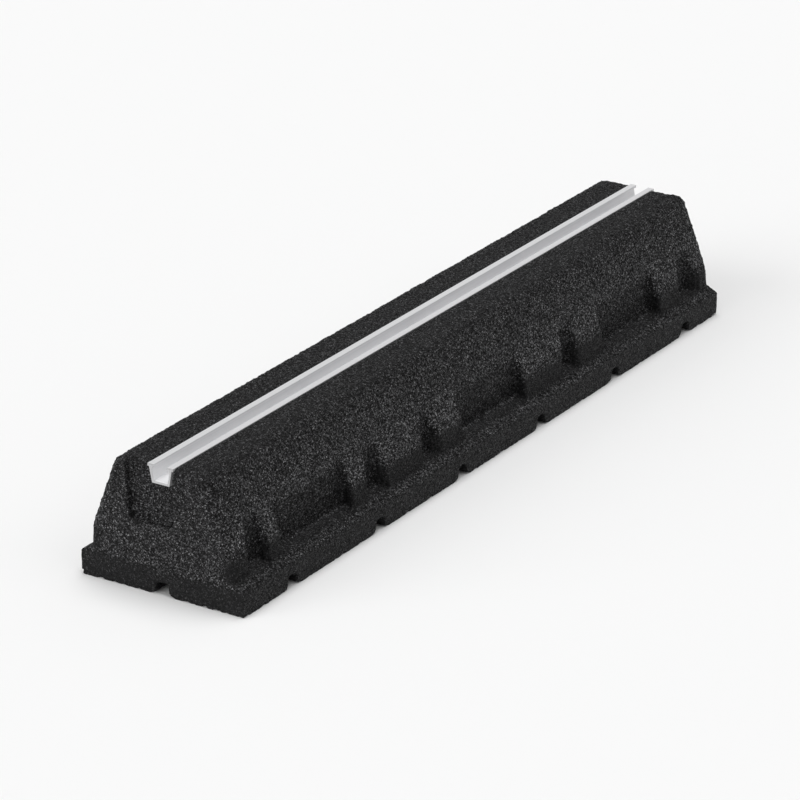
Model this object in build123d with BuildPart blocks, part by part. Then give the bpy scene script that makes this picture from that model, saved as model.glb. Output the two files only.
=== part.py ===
# Recycled-rubber support block with an aluminium bolt channel let into its top.
# A long trapezoidal block of bonded crumb rubber stands on a flange, with drain
# grooves moulded across and along its underside and moulded pockets in both
# long sides. A C-shaped aluminium channel, screwed down into the rubber, takes
# the heads of M8 bolts. Millimetres, +Z up, +X along the block, origin at the
# centre of the footprint, on the surface that the block stands on.
import os
from build123d import *

# --- block envelope ---------------------------------------------------------
length = 600.0
base_width = 125.0
height = 87.5

# --- half section of the block, from the base edge up to the top edge --------
half_base = base_width / 2
flange_height = 17.5          # height of the flange's outer edge
flange_rise = 20.3            # height where the flange's top meets the wall
foot_of_wall = 56.2           # half width at the foot of the upright wall
wall_top = 36.5               # height where the wall turns into the slope
half_at_wall_top = 54.7
half_top = 35.0               # half width of the top, before its edges are rounded
top_edge_radius = 10.0
flange_edge_radius = 2.5
kink_radius = 12.0
end_edge_radius = 6.5         # rounding of the body's upright edges at the two ends

# --- drain grooves in the underside ------------------------------------------
drain_count = 6
drain_pitch = 100.0
drain_shift = 4.0             # how far the row of cross drains stands off the block's middle
drain_height = 8.5
drain_roof = 9.2              # width of the groove's flat roof
drain_mouth = 11.0            # width at the base, before its corners are rounded
drain_mouth_radius = 3.8
drain_mouth_reach = 25.0      # how far the cutting outline spreads below the base

# --- moulded pockets in the long sides ---------------------------------------
# Upright flutes, cut down to the flange. Each is given at the wall's face and at
# the pocket's back, as distances along X from the block's left-hand end.
pocket_back = 46.4            # half width at which every pocket ends
small_pockets = [
    (15.0, 40.0, 23.0, 36.0),
    (149.0, 174.5, 156.5, 169.0),
    (214.0, 239.0, 224.0, 231.0),
    (393.0, 417.0, 402.0, 412.0),
    (555.5, 586.0, 564.0, 577.0),
]
wide_pocket_length = 80.0
wide_pocket_starts = [53.0, 265.0, 448.5]
pocket_floor_rise = 24.0      # height of the pocket's floor at its back

# --- shallow step in each end, beside the channel -----------------------------
step_depth = 5.5
step_floor = 47.8
step_outer = 26.5             # outer edge at the top
step_outer_low = 24.0         # outer edge at the step's floor
step_inner = -10.0

# --- aluminium channel --------------------------------------------------------
channel_length = 595.0
channel_width = 19.4          # over the lips
channel_width_below_lips = 17.2
channel_width_at_base = 13.2  # the walls lean in towards the floor
channel_height = 12.5
slot_width = 10.0             # clears an M8 bolt's shank
lip_thickness = 1.8
wall_thickness = 1.5
floor_thickness = 1.4

# --- screws that hold the channel down ----------------------------------------
screw_count = 5
screw_pitch = 130.0
screw_length = 38.0
screw_diameter = 3.9
screw_head_diameter = 6.5     # a 90 degree countersink that ends within the channel's floor
screw_head_depth = 1.3
screw_point_length = 6.0
screw_recess_width = 1.0
screw_recess_span = 3.8
screw_recess_depth = 1.2

channel_base = height - channel_height
channel_floor = channel_base + floor_thickness
channel_half = channel_width / 2
half_below_lips = channel_width_below_lips / 2
half_at_base = channel_width_at_base / 2

wall_lean = (half_below_lips - half_at_base) / (channel_height - lip_thickness)

above_block = height + 20.0
beyond_flange = half_base + 20.0


def mirrored_outline(points):
    """Close a half outline, given from the base to the top, with its mirror image."""
    return points + [(-y, z) for y, z in reversed(points)]


# ------------------------------------------------------------------------------
# One countersunk screw, standing in the channel's floor at the block's middle.
# ------------------------------------------------------------------------------
screw_tip = channel_floor - screw_length
with BuildPart() as plain_screw:
    with BuildSketch(Plane.XZ) as screw_half:
        with BuildLine():
            Polyline(
                (0, screw_tip),
                (screw_diameter / 2, screw_tip + screw_point_length),
                (screw_diameter / 2, channel_floor - screw_head_depth),
                (screw_head_diameter / 2, channel_floor),
                (0, channel_floor),
                (0, screw_tip),
            )
        make_face()
    revolve(axis=Axis.Z)

screw_places = [Location((i * screw_pitch, 0, 0)) for i in range(-(screw_count // 2), screw_count // 2 + 1)]

with BuildPart() as screw_seats:
    with Locations(*screw_places):
        add(plain_screw.part)

with BuildPart() as fixing_screws:
    add(screw_seats.part)
    recess_floor = Plane.XY.offset(channel_floor - screw_recess_depth)
    with BuildSketch(recess_floor):
        with Locations(*screw_places):
            Rectangle(screw_recess_span, screw_recess_width)
            Rectangle(screw_recess_width, screw_recess_span)
    extrude(amount=screw_recess_depth, mode=Mode.SUBTRACT)
fixing_screws.part.label = "fixing_screws"

# ------------------------------------------------------------------------------
# The channel: one extruded C section with its slot upwards.
# ------------------------------------------------------------------------------
channel_outline = mirrored_outline([
    (half_at_base, channel_base),
    (half_below_lips, height - lip_thickness),
    (channel_half, height - lip_thickness),
    (channel_half, height),
])

with BuildPart() as channel_envelope:
    with BuildSketch(Plane.YZ):
        Polygon(*channel_outline, align=None)
    extrude(amount=length, both=True)

with BuildPart() as aluminium_channel:
    with BuildSketch(Plane.YZ):
        Polygon(*channel_outline, align=None)
        Polygon(
            *mirrored_outline([
                (half_at_base - wall_thickness + floor_thickness * wall_lean, channel_floor),
                (half_below_lips - wall_thickness, height - lip_thickness),
                (slot_width / 2, height - lip_thickness),
                (slot_width / 2, above_block),
            ]),
            align=None,
            mode=Mode.SUBTRACT,
        )
    extrude(amount=channel_length / 2, both=True)
    add(screw_seats.part, mode=Mode.SUBTRACT)
aluminium_channel.part.label = "aluminium_channel"

# ------------------------------------------------------------------------------
# The hollows in one long side, as one cutting body: a plan that narrows towards
# the pocket's back, kept above a floor that carries on the flange's slope.
# ------------------------------------------------------------------------------
with BuildPart() as side_hollows:
    with BuildSketch(Plane.XY):
        for start, end, back_start, back_end in small_pockets:
            left = start - length / 2
            right = end - length / 2
            Polygon(
                (left, -beyond_flange),
                (right, -beyond_flange),
                (right, -foot_of_wall),
                (back_end - length / 2, -pocket_back),
                (back_start - length / 2, -pocket_back),
                (left, -foot_of_wall),
                align=None,
            )
        for start in wide_pocket_starts:
            middle = start + wide_pocket_length / 2 - length / 2
            with Locations((middle, -(beyond_flange + pocket_back) / 2)):
                Rectangle(wide_pocket_length, beyond_flange - pocket_back)
    extrude(amount=above_block)
    with BuildSketch(Plane.YZ):
        Polygon(
            (-half_base, flange_height),
            (-foot_of_wall, flange_rise),
            (-pocket_back, pocket_floor_rise),
            (-pocket_back, above_block),
            (-beyond_flange, above_block),
            (-beyond_flange, flange_height),
            align=None,
        )
    extrude(amount=length, both=True, mode=Mode.INTERSECT)

# ------------------------------------------------------------------------------
# The outline of one drain groove, standing on the base line. Below that line it
# spreads out, so that the groove's mouth comes out with rounded corners.
# ------------------------------------------------------------------------------
with BuildSketch() as drain_outline:
    Polygon(
        (-drain_mouth_reach, -drain_mouth_radius),
        (-drain_mouth_reach, 0),
        (-drain_mouth / 2, 0),
        (-drain_roof / 2, drain_height),
        (drain_roof / 2, drain_height),
        (drain_mouth / 2, 0),
        (drain_mouth_reach, 0),
        (drain_mouth_reach, -drain_mouth_radius),
        align=None,
    )
    mouth_corners = drain_outline.vertices().filter_by_position(Axis.Y, -0.1, 0.1)
    fillet(mouth_corners.sort_by(Axis.X)[1:-1], drain_mouth_radius)

# ------------------------------------------------------------------------------
# The rubber block.
# ------------------------------------------------------------------------------
with BuildPart() as rubber_block:
    with BuildSketch(Plane.YZ) as section:
        Polygon(
            *mirrored_outline([
                (half_base, 0),
                (half_base, flange_height),
                (foot_of_wall, flange_rise),
                (half_at_wall_top, wall_top),
                (half_top, height),
            ]),
            align=None,
        )
        corners = section.vertices()
        fillet(corners.group_by(Axis.Y)[-1], top_edge_radius)
        fillet(section.vertices().filter_by_position(Axis.Y, wall_top - 1, wall_top + 1), kink_radius)
        fillet(
            section.vertices().filter_by_position(Axis.Y, flange_height - 1, flange_height + 1),
            flange_edge_radius,
        )
    extrude(amount=length / 2, both=True)

    # the body's end edges are rounded, from the flange up and over the top
    end_faces = faces().filter_by(Axis.X)
    body_edges = [edge for edge in end_faces.edges() if edge.center().Z > flange_rise + 1]
    fillet(body_edges, end_edge_radius)

    # drain grooves: one along the block and six across it
    with BuildSketch(Plane.YZ):
        add(drain_outline.sketch)
    extrude(amount=length, both=True, mode=Mode.SUBTRACT)
    with BuildSketch(Plane.XZ):
        with Locations((drain_shift, 0)):
            with GridLocations(drain_pitch, 1, drain_count, 1):
                add(drain_outline.sketch)
    extrude(amount=length, both=True, mode=Mode.SUBTRACT)

    # pockets in both long sides, the second side being the first turned half round
    add(side_hollows.part, mode=Mode.SUBTRACT)
    add(side_hollows.part.rotate(Axis.Z, 180), mode=Mode.SUBTRACT)

    # the shallow step in each end, again turned half round for the far end
    for turn in (0, 180):
        with BuildSketch(Plane.YZ.offset(-length / 2)) as step:
            Polygon(
                (step_inner, step_floor),
                (step_outer_low, step_floor),
                (step_outer, above_block),
                (step_inner, above_block),
                align=None,
            )
        cutter = extrude(amount=step_depth, mode=Mode.PRIVATE)
        add(cutter.rotate(Axis.Z, turn), mode=Mode.SUBTRACT)

    # the groove that holds the channel, and the screws' holes under it
    add(channel_envelope.part, mode=Mode.SUBTRACT)
    add(screw_seats.part, mode=Mode.SUBTRACT)
rubber_block.part.label = "rubber_block"

# ------------------------------------------------------------------------------
os.makedirs("parts", exist_ok=True)
for piece in (rubber_block, aluminium_channel, fixing_screws):
    export_step(piece.part, f"parts/{piece.part.label}.step")
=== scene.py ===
import math

import bmesh
import bpy
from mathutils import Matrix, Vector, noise


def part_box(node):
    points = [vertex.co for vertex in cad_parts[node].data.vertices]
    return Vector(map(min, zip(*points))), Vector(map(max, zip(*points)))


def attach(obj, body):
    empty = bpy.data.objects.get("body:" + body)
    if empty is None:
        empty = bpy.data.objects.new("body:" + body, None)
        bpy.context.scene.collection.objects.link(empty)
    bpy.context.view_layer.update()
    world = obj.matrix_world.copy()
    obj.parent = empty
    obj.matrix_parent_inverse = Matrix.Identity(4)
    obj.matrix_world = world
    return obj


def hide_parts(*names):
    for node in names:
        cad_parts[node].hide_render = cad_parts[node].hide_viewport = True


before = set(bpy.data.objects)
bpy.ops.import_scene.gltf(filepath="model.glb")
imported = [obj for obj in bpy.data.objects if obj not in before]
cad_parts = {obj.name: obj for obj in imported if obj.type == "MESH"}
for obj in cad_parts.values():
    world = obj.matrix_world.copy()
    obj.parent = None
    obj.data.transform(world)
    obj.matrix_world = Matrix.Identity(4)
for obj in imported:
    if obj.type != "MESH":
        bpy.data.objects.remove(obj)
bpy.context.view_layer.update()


# ------------------------------------------------------------------------------
# The rubber block: shredded tyre rubber and a little polyurethane binder, pressed
# in a mould. The granules lie flat where they met the mould's walls and leave
# small voids between them, and crumbs have broken away along the base's edge.
# ------------------------------------------------------------------------------
block_low, block_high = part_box("rubber_block")
grid_size = 0.00135
most_triangles = 190000


def merged_copy(node, name):
    """A copy of a CAD node's mesh, with its loose triangles joined up."""
    shape = bmesh.new()
    shape.from_mesh(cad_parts[node].data)
    bmesh.ops.remove_doubles(shape, verts=shape.verts, dist=1e-6)
    mesh = bpy.data.meshes.new(name)
    shape.to_mesh(mesh)
    shape.free()
    piece = bpy.data.objects.new(name, mesh)
    bpy.context.scene.collection.objects.link(piece)
    return piece


def bake_modifiers(piece):
    """Put a piece's modifiers into its mesh."""
    view = bpy.context.evaluated_depsgraph_get()
    view.update()
    made = bpy.data.meshes.new_from_object(piece.evaluated_get(view))
    piece.modifiers.clear()
    piece.data = made


block = merged_copy("rubber_block", "moulded_rubber_block")
grid = block.modifiers.new("even grid", "REMESH")
grid.mode = "VOXEL"
grid.voxel_size = grid_size
bake_modifiers(block)

# half widths: the upright wall at the floor and at the kink, and then the top
wall_foot = 0.0562
wall_top = 0.0547
top_side = 0.035
kink_height = 0.0365


def side_at(height):
    """How far the long sides stand from the middle at a height."""
    if height < kink_height:
        return wall_foot + (wall_top - wall_foot) * height / kink_height
    rise = (height - kink_height) / (block_high.z - kink_height)
    return wall_top + (top_side - wall_top) * rise


# granules stand out round their centres, and the whole surface swells a little
granule_size = 0.0026
granule_relief = 0.0012
mean_gap = 0.45
swell_size = 0.016
swell_height = 0.00025

# the rubber beside the channel is pressed flatter
groove_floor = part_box("aluminium_channel")[0].z
groove_margin = 0.002
groove_reach = 0.0125
groove_relief = 0.5

# so is the closer skin of the foot and the upright wall
foot_top = 0.018
close_skin_top = 0.034
close_skin_out = 0.05
close_skin_relief = 0.4

shape = bmesh.new()
shape.from_mesh(block.data)
shape.normal_update()
moves = []
for vert in shape.verts:
    place = vert.co
    gaps = noise.voronoi(place / granule_size)[0]
    granule = (mean_gap - gaps[0]) * granule_relief
    swell = noise.noise(place / swell_size) * swell_height
    above_floor = place.z > groove_floor - groove_margin
    if above_floor and abs(place.y) < groove_reach:
        swell = 0
        granule = min(granule, 0) * groove_relief
    on_wall = place.z < close_skin_top and abs(place.y) > close_skin_out
    if place.z < foot_top or on_wall:
        granule *= close_skin_relief
    moves.append(vert.normal * (granule + swell))

# two of the upright corners, across from each other, are worn rounder at the top
worn_from = 0.03
worn_height = 0.045
corner_radius = 0.0065
corner_growth = 0.0055

# the edge of the base is ragged, with crumbs missing, most of all at the ends
ragged_top = 0.0025
ragged_end = 0.295
ragged_side = 0.058
chip_size = 0.005
small_chip_size = 0.0021
small_chip_share = 0.6
end_zone = 0.293
end_chip = 0.0022
side_chip = 0.0007

for vert, move in zip(shape.verts, moves):
    place = vert.co
    if place.z > worn_from and place.x * place.y > 0:
        wear = min((place.z - worn_from) / worn_height, 1)
        radius = corner_radius + corner_growth * wear
        from_end = radius - (block_high.x - abs(place.x))
        from_side = radius - (side_at(place.z) - abs(place.y))
        reach = math.hypot(from_end, from_side)
        if from_end > 0 and from_side > 0 and reach > radius:
            pull = radius / reach
            place.x -= math.copysign(from_end * (1 - pull), place.x)
            place.y -= math.copysign(from_side * (1 - pull), place.y)
    at_edge = abs(place.x) > ragged_end or abs(place.y) > ragged_side
    if place.z < ragged_top and at_edge:
        ragged = noise.noise(place / chip_size)
        ragged += small_chip_share * noise.noise(place / small_chip_size)
        loss = max(ragged, 0) * (end_chip if abs(place.x) > end_zone else side_chip)
        place.z += loss
        place.x -= math.copysign(loss / 2, place.x)
        place.y -= math.copysign(loss / 2, place.y)
    place += move
shape.to_mesh(block.data)
shape.free()

thin = block.modifiers.new("fewer triangles", "DECIMATE")
thin.ratio = min(1.0, most_triangles / (2 * len(block.data.polygons)))
bake_modifiers(block)
for vert in block.data.vertices:
    for axis in range(3):
        vert.co[axis] = min(max(vert.co[axis], block_low[axis]), block_high[axis])
block.data.shade_flat()

# painted shade darkens the pockets, and painted light brightens the up-facing ledges low
# down in them
pocket_bottom = 0.021
pocket_top = 0.066
pocket_depth = 0.003
pocket_shade_tone = 0.58
ledge_top = 0.03
ledge_slope = 0.75
ledge_light_tone = 1.5
pocket_shade_and_ledge_light = block.data.attributes.new("pocket_shade_and_ledge_light", "FLOAT", "POINT")
for vert in block.data.vertices:
    place = vert.co
    set_back = side_at(place.z) - abs(place.y) > pocket_depth
    at_height = pocket_bottom < place.z < pocket_top
    lit_ledge = vert.normal.z > ledge_slope and place.z < ledge_top
    tone = 1.0
    if set_back and at_height and abs(place.x) < end_zone:
        tone = ledge_light_tone if lit_ledge else pocket_shade_tone
    pocket_shade_and_ledge_light.data[vert.index].value = tone

crumb = bpy.data.materials.new("crumb rubber")
crumb.use_nodes = True
nodes, links = crumb.node_tree.nodes, crumb.node_tree.links
shader = nodes["Principled BSDF"]
shader.inputs["Specular IOR Level"].default_value = 0.13
place = nodes.new("ShaderNodeTexCoord")

granules = nodes.new("ShaderNodeTexVoronoi")
granules.inputs["Scale"].default_value = 1650
links.new(place.outputs["Object"], granules.inputs["Vector"])
tones = nodes.new("ShaderNodeSeparateColor")
links.new(granules.outputs["Color"], tones.inputs["Color"])

# most granules are near black and their tones differ at random; a few are lighter
# flecks, and the brightest are painted glints, painted highlights where facets would
# catch the light
granule_tone_and_glint = nodes.new("ShaderNodeValToRGB")
stops = granule_tone_and_glint.color_ramp.elements
stops[0].position, stops[0].color = 0.0, (0.003, 0.003, 0.0032, 1)
stops[1].position, stops[1].color = 1.0, (0.22, 0.22, 0.225, 1)
for position, tone in ((0.3, 0.004), (0.55, 0.024), (0.85, 0.078)):
    stop = stops.new(position)
    stop.color = (tone, tone, tone * 1.03, 1)
links.new(tones.outputs["Red"], granule_tone_and_glint.inputs["Fac"])

# they lie in clumps; the voids between them carry painted shade and the middles of the
# clumps carry painted light
clumps = nodes.new("ShaderNodeTexVoronoi")
clumps.inputs["Scale"].default_value = 620
links.new(place.outputs["Object"], clumps.inputs["Vector"])
clump_light_and_void_shade = nodes.new("ShaderNodeMapRange")
clump_light_and_void_shade.inputs["From Min"].default_value = 0.25
clump_light_and_void_shade.inputs["From Max"].default_value = 0.75
clump_light_and_void_shade.inputs["To Min"].default_value = 1.55
clump_light_and_void_shade.inputs["To Max"].default_value = 0.2
links.new(clumps.outputs["Distance"], clump_light_and_void_shade.inputs["Value"])
clumped = nodes.new("ShaderNodeVectorMath")
clumped.operation = "SCALE"
links.new(granule_tone_and_glint.outputs["Color"], clumped.inputs[0])
links.new(clump_light_and_void_shade.outputs["Result"], clumped.inputs["Scale"])

# open crumb on the slopes, a closer skin on the foot and the upright wall; the tone by
# height, set apart for the ends and the long sides, is partly this skin's darker colour
# and partly painted light and shade, painted lighter on the slopes and the top and
# painted darker on the low upright wall
spot = nodes.new("ShaderNodeSeparateXYZ")
links.new(place.outputs["Object"], spot.inputs["Vector"])
height = nodes.new("ShaderNodeMapRange")
height.inputs["From Max"].default_value = block_high.z
links.new(spot.outputs["Z"], height.inputs["Value"])
end_tone = nodes.new("ShaderNodeValToRGB")
side_tone = nodes.new("ShaderNodeValToRGB")
# tone steps by height: partly the closer skin, partly painted light and shade
end_steps = ((0.0, 0.5), (0.17, 0.53), (0.24, 1.3), (0.5, 1.2), (0.9, 1.0), (0.99, 0.75))
side_steps = ((0.0, 0.5), (0.18, 0.52), (0.215, 1.1), (0.26, 0.4))
side_steps += ((0.38, 0.42), (0.47, 1.55), (0.7, 1.4), (0.9, 1.4))
for ramp, steps in ((end_tone, end_steps), (side_tone, side_steps)):
    stops = ramp.color_ramp.elements
    stops[0].position, stops[1].position = steps[0][0], steps[-1][0]
    for position, tone in steps[1:-1]:
        stops.new(position)
    for stop, (position, tone) in zip(stops, steps):
        stop.color = (tone, tone, tone, 1)
    links.new(height.outputs["Result"], ramp.inputs["Fac"])
out = nodes.new("ShaderNodeMath")
out.operation = "ABSOLUTE"
links.new(spot.outputs["Y"], out.inputs[0])
sideways = nodes.new("ShaderNodeMapRange")
sideways.inputs["From Min"].default_value = 0.044
sideways.inputs["From Max"].default_value = 0.051
links.new(out.outputs["Value"], sideways.inputs["Value"])
skin_and_painted_light = nodes.new("ShaderNodeMix")
skin_and_painted_light.data_type = "RGBA"
links.new(sideways.outputs["Result"], skin_and_painted_light.inputs["Factor"])
links.new(end_tone.outputs["Color"], skin_and_painted_light.inputs["A"])
links.new(side_tone.outputs["Color"], skin_and_painted_light.inputs["B"])
openness = nodes.new("ShaderNodeMapRange")
openness.inputs["From Min"].default_value = 0.4
openness.inputs["From Max"].default_value = 0.9
openness.inputs["To Min"].default_value = 0.5
links.new(skin_and_painted_light.outputs["Result"], openness.inputs["Value"])
closed = nodes.new("ShaderNodeMix")
closed.data_type = "RGBA"
closed.inputs["A"].default_value = (0.035, 0.035, 0.036, 1)
links.new(openness.outputs["Result"], closed.inputs["Factor"])
links.new(clumped.outputs["Vector"], closed.inputs["B"])
coloured = nodes.new("ShaderNodeMix")
coloured.data_type = "RGBA"
coloured.blend_type = "MULTIPLY"
coloured.inputs["Factor"].default_value = 1
links.new(closed.outputs["Result"], coloured.inputs["A"])
links.new(skin_and_painted_light.outputs["Result"], coloured.inputs["B"])
# painted shade in the pockets and painted light on their ledges, read from the vertex
# attribute
pockets = nodes.new("ShaderNodeAttribute")
pockets.attribute_name = "pocket_shade_and_ledge_light"
pocket_shaded = nodes.new("ShaderNodeVectorMath")
pocket_shaded.operation = "SCALE"
links.new(coloured.outputs["Result"], pocket_shaded.inputs[0])
links.new(pockets.outputs["Fac"], pocket_shaded.inputs["Scale"])
links.new(pocket_shaded.outputs["Vector"], shader.inputs["Base Color"])

gloss = nodes.new("ShaderNodeMapRange")
gloss.inputs["To Min"].default_value = 0.4
gloss.inputs["To Max"].default_value = 0.8
links.new(tones.outputs["Green"], gloss.inputs["Value"])
links.new(gloss.outputs["Result"], shader.inputs["Roughness"])

# each granule lies at a tilt of its own
surface = nodes.new("ShaderNodeNewGeometry")
tilt = nodes.new("ShaderNodeVectorMath")
tilt.operation = "MULTIPLY_ADD"
tilt.inputs[1].default_value = (1.4, 1.4, 1.4)
tilt.inputs[2].default_value = (-0.7, -0.7, -0.7)
links.new(granules.outputs["Color"], tilt.inputs[0])
tilted = nodes.new("ShaderNodeVectorMath")
links.new(surface.outputs["Normal"], tilted.inputs[0])
links.new(tilt.outputs["Vector"], tilted.inputs[1])
upright = nodes.new("ShaderNodeVectorMath")
upright.operation = "NORMALIZE"
links.new(tilted.outputs["Vector"], upright.inputs[0])
relief = nodes.new("ShaderNodeBump")
relief.inputs["Strength"].default_value = 0.9
relief.inputs["Distance"].default_value = 0.0005
relief.invert = True
links.new(clumps.outputs["Distance"], relief.inputs["Height"])
links.new(upright.outputs["Vector"], relief.inputs["Normal"])
links.new(relief.outputs["Normal"], shader.inputs["Normal"])

block.data.materials.clear()
block.data.materials.append(crumb)
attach(block, "root")
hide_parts("rubber_block")


# ------------------------------------------------------------------------------
# The bolt channel: an aluminium extrusion, sawn to length and let into the top
# of the block, with its two lips flush with the rubber.
# ------------------------------------------------------------------------------
channel_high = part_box("aluminium_channel")[1]
edge_rounding = 0.00018
saw_depth = 0.0004
lip_top_depth = 0.0012

channel = merged_copy("aluminium_channel", "bolt_channel")
shape = bmesh.new()
shape.from_mesh(channel.data)
bmesh.ops.dissolve_limit(
    shape, angle_limit=math.radians(1), verts=shape.verts, edges=shape.edges
)
shape.to_mesh(channel.data)
shape.free()
rounding = channel.modifiers.new("eased edges", "BEVEL")
rounding.width = edge_rounding
rounding.segments = 2
rounding.limit_method = "ANGLE"
rounding.angle_limit = math.radians(35)
bake_modifiers(channel)

mill = bpy.data.materials.new("mill finish aluminium")
mill.use_nodes = True
nodes, links = mill.node_tree.nodes, mill.node_tree.links
shader = nodes["Principled BSDF"]
shader.inputs["Metallic"].default_value = 0.3
place = nodes.new("ShaderNodeTexCoord")
stretch = nodes.new("ShaderNodeMapping")
stretch.inputs["Scale"].default_value = (6, 900, 900)
links.new(place.outputs["Object"], stretch.inputs["Vector"])
streaks = nodes.new("ShaderNodeTexNoise")
streaks.inputs["Scale"].default_value = 1.0
streaks.inputs["Detail"].default_value = 4
links.new(stretch.outputs["Vector"], streaks.inputs["Vector"])
tint = nodes.new("ShaderNodeValToRGB")
stops = tint.color_ramp.elements
stops[0].position, stops[0].color = 0.3, (0.80, 0.80, 0.81, 1)
stops[1].position, stops[1].color = 0.7, (0.845, 0.845, 0.855, 1)
links.new(streaks.outputs["Fac"], tint.inputs["Fac"])

# the base colour is darker at the sawn ends
spot = nodes.new("ShaderNodeSeparateXYZ")
links.new(place.outputs["Object"], spot.inputs["Vector"])
along = nodes.new("ShaderNodeMath")
along.operation = "ABSOLUTE"
links.new(spot.outputs["X"], along.inputs[0])
sawn = nodes.new("ShaderNodeMapRange")
sawn.inputs["From Min"].default_value = channel_high.x - saw_depth
sawn.inputs["From Max"].default_value = channel_high.x - saw_depth / 4
sawn.inputs["To Min"].default_value = 1.0
sawn.inputs["To Max"].default_value = 0.62
links.new(along.outputs["Value"], sawn.inputs["Value"])
# and it is darker over the tops of the lips
lip_tops = nodes.new("ShaderNodeMapRange")
lip_tops.inputs["From Min"].default_value = channel_high.z - lip_top_depth
lip_tops.inputs["From Max"].default_value = channel_high.z - lip_top_depth / 3
lip_tops.inputs["To Min"].default_value = 1.0
lip_tops.inputs["To Max"].default_value = 0.86
links.new(spot.outputs["Z"], lip_tops.inputs["Value"])
both = nodes.new("ShaderNodeMath")
both.operation = "MULTIPLY"
links.new(sawn.outputs["Result"], both.inputs[0])
links.new(lip_tops.outputs["Result"], both.inputs[1])
darker_ends_and_lip_tops = nodes.new("ShaderNodeVectorMath")
darker_ends_and_lip_tops.operation = "SCALE"
links.new(tint.outputs["Color"], darker_ends_and_lip_tops.inputs[0])
links.new(both.outputs["Value"], darker_ends_and_lip_tops.inputs["Scale"])
links.new(darker_ends_and_lip_tops.outputs["Vector"], shader.inputs["Base Color"])
gloss = nodes.new("ShaderNodeMapRange")
gloss.inputs["To Min"].default_value = 0.55
gloss.inputs["To Max"].default_value = 0.7
links.new(streaks.outputs["Fac"], gloss.inputs["Value"])
links.new(gloss.outputs["Result"], shader.inputs["Roughness"])
relief = nodes.new("ShaderNodeBump")
relief.inputs["Strength"].default_value = 0.15
relief.inputs["Distance"].default_value = 0.0001
links.new(streaks.outputs["Fac"], relief.inputs["Height"])
links.new(relief.outputs["Normal"], shader.inputs["Normal"])

channel.data.materials.clear()
channel.data.materials.append(mill)
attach(channel, "root")
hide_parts("aluminium_channel")


# ------------------------------------------------------------------------------
# The fixing screws: countersunk screws of zinc-plated steel with a cross recess,
# holding the channel down. The heads keep the shape they have in the frame, and
# the threads are rolled on a thinner core, running out into the point.
# ------------------------------------------------------------------------------
screw_low, screw_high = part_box("fixing_screws")
screw_count = 5
screw_pitch = 0.13
head_depth = 0.0017
point_length = 0.006
crest_radius = 0.00195
core_radius = 0.0014
thread_pitch = 0.0018
ring_sides = 24
rings_per_turn = 8
below_head = screw_high.z - head_depth

screws = merged_copy("fixing_screws", "fixing_screws_zinc")
shape = bmesh.new()
shape.from_mesh(screws.data)
bmesh.ops.bisect_plane(
    shape,
    geom=shape.verts[:] + shape.edges[:] + shape.faces[:],
    plane_co=(0, 0, below_head),
    plane_no=(0, 0, 1),
    clear_inner=True,
)
bmesh.ops.holes_fill(shape, edges=[edge for edge in shape.edges if edge.is_boundary])

shank_length = below_head - screw_low.z
ring_count = int(shank_length / thread_pitch * rings_per_turn)
shank = bmesh.new()
top = shank.verts.new((crest_radius, 0, below_head))
foot = shank.verts.new((crest_radius, 0, screw_low.z))
centre_line = shank.edges.new((top, foot))
bmesh.ops.subdivide_edges(shank, edges=[centre_line], cuts=ring_count - 1)
bmesh.ops.spin(
    shank,
    geom=shank.verts[:] + shank.edges[:],
    cent=(0, 0, 0),
    axis=(0, 0, 1),
    angle=2 * math.pi,
    steps=ring_sides,
    use_merge=True,
)
for vert in shank.verts:
    down = below_head - vert.co.z
    taper = min((shank_length - down) / point_length, 1)
    turn = math.atan2(vert.co.y, vert.co.x) / (2 * math.pi)
    phase = (down / thread_pitch - turn) % 1
    run_in = min(down / thread_pitch, 1)
    # the ridge takes the middle half of each turn
    ridge = max(1 - abs(phase - 0.5) * 4, 0) * run_in
    radius = (core_radius + (crest_radius - core_radius) * ridge) * taper
    vert.co.xy = vert.co.xy.normalized() * radius
bmesh.ops.remove_doubles(shank, verts=shank.verts, dist=1e-6)
bmesh.ops.holes_fill(shank, edges=[edge for edge in shank.edges if edge.is_boundary])
one_shank = bpy.data.meshes.new("one_shank")
shank.to_mesh(one_shank)
shank.free()
for number in range(screw_count):
    before = set(shape.verts)
    shape.from_mesh(one_shank)
    added = [vert for vert in shape.verts if vert not in before]
    along = (number - (screw_count - 1) / 2) * screw_pitch
    bmesh.ops.translate(shape, verts=added, vec=(along, 0, 0))
bpy.data.meshes.remove(one_shank)
bmesh.ops.recalc_face_normals(shape, faces=shape.faces)
shape.to_mesh(screws.data)
shape.free()

zinc = bpy.data.materials.new("bright zinc plate")
zinc.use_nodes = True
nodes, links = zinc.node_tree.nodes, zinc.node_tree.links
shader = nodes["Principled BSDF"]
shader.inputs["Metallic"].default_value = 0.9
place = nodes.new("ShaderNodeTexCoord")
spangle = nodes.new("ShaderNodeTexNoise")
spangle.inputs["Scale"].default_value = 900
spangle.inputs["Detail"].default_value = 5
links.new(place.outputs["Object"], spangle.inputs["Vector"])
tint = nodes.new("ShaderNodeValToRGB")
stops = tint.color_ramp.elements
stops[0].position, stops[0].color = 0.3, (0.50, 0.52, 0.55, 1)
stops[1].position, stops[1].color = 0.7, (0.70, 0.71, 0.72, 1)
links.new(spangle.outputs["Fac"], tint.inputs["Fac"])
links.new(tint.outputs["Color"], shader.inputs["Base Color"])
gloss = nodes.new("ShaderNodeMapRange")
gloss.inputs["To Min"].default_value = 0.22
gloss.inputs["To Max"].default_value = 0.5
links.new(spangle.outputs["Fac"], gloss.inputs["Value"])
links.new(gloss.outputs["Result"], shader.inputs["Roughness"])
relief = nodes.new("ShaderNodeBump")
relief.inputs["Strength"].default_value = 0.2
relief.inputs["Distance"].default_value = 0.00005
links.new(spangle.outputs["Fac"], relief.inputs["Height"])
links.new(relief.outputs["Normal"], shader.inputs["Normal"])

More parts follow.
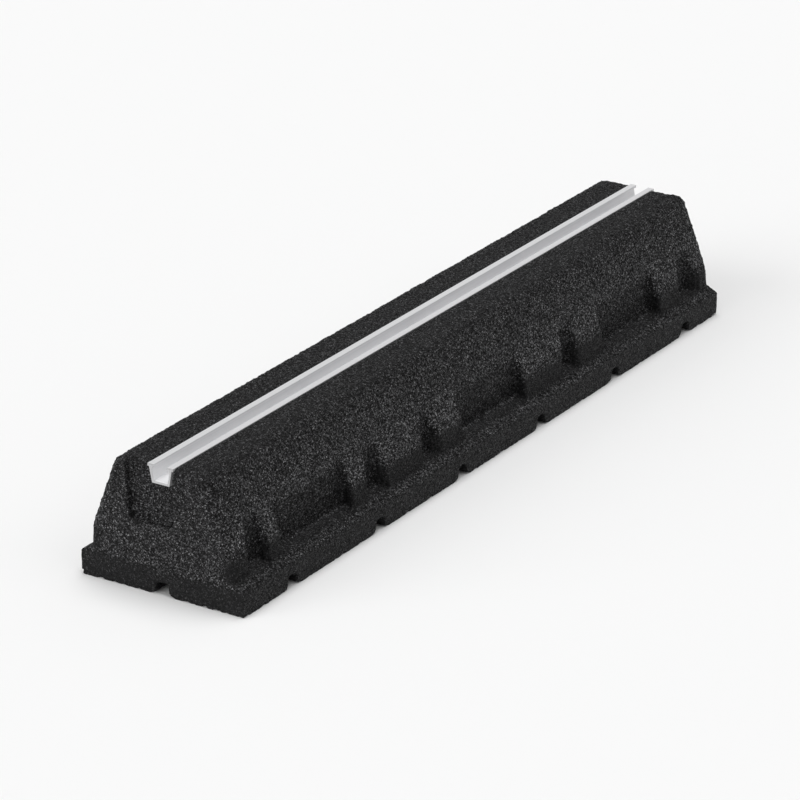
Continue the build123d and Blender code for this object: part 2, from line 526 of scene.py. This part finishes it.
screws.data.materials.clear()
screws.data.materials.append(zinc)
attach(screws, "root")
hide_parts("fixing_screws")


# ------------------------------------------------------------------------------
# The studio: a pale floor, two low broad lights on the near end, a weak one on the
# long side, one from overhead, and an even pale surround.
# ------------------------------------------------------------------------------
shape = bmesh.new()
bmesh.ops.create_grid(shape, x_segments=1, y_segments=1, size=6)
floor_mesh = bpy.data.meshes.new("studio_floor")
shape.to_mesh(floor_mesh)
shape.free()
floor = bpy.data.objects.new("studio_floor", floor_mesh)
bpy.context.scene.collection.objects.link(floor)
paper = bpy.data.materials.new("white paper")
paper.use_nodes = True
shader = paper.node_tree.nodes["Principled BSDF"]
shader.inputs["Base Color"].default_value = (0.9, 0.9, 0.9, 1)
shader.inputs["Roughness"].default_value = 1.0
shader.inputs["Specular IOR Level"].default_value = 0.0
floor.data.materials.append(paper)

surround = bpy.data.worlds.new("studio surround")
surround.use_nodes = True
backdrop = surround.node_tree.nodes["Background"]
backdrop.inputs["Color"].default_value = (1, 1, 1, 1)
backdrop.inputs["Strength"].default_value = 0.24
bpy.context.scene.world = surround


def soft_light(name, turn, lift, power):
    """A broad, far light, given where it stands round the block and how high."""
    light = bpy.data.lights.new(name, "SUN")
    light.energy = power
    light.angle = math.radians(45)
    lamp = bpy.data.objects.new(name, light)
    lamp.rotation_euler = (0, math.radians(90 - lift), math.radians(turn))
    bpy.context.scene.collection.objects.link(lamp)


soft_light("end light", 150, 22, 1.13)
soft_light("end fill", 185, 22, 0.47)
soft_light("side light", 270, 52, 0.41)
soft_light("top light", 0, 85, 1.67)

lens = bpy.data.cameras.new("camera")
lens.sensor_width = 36
lens.lens = 188.28
lens.clip_end = 20
camera = bpy.data.objects.new("camera", lens)
camera.location = (-2.19416, -1.41729, 1.124)
camera_turn = (67.1919, 0.4795, -57.0242)
camera.rotation_euler = [math.radians(angle) for angle in camera_turn]
bpy.context.scene.collection.objects.link(camera)
bpy.context.scene.camera = camera
bpy.context.scene.view_settings.view_transform = "Standard"
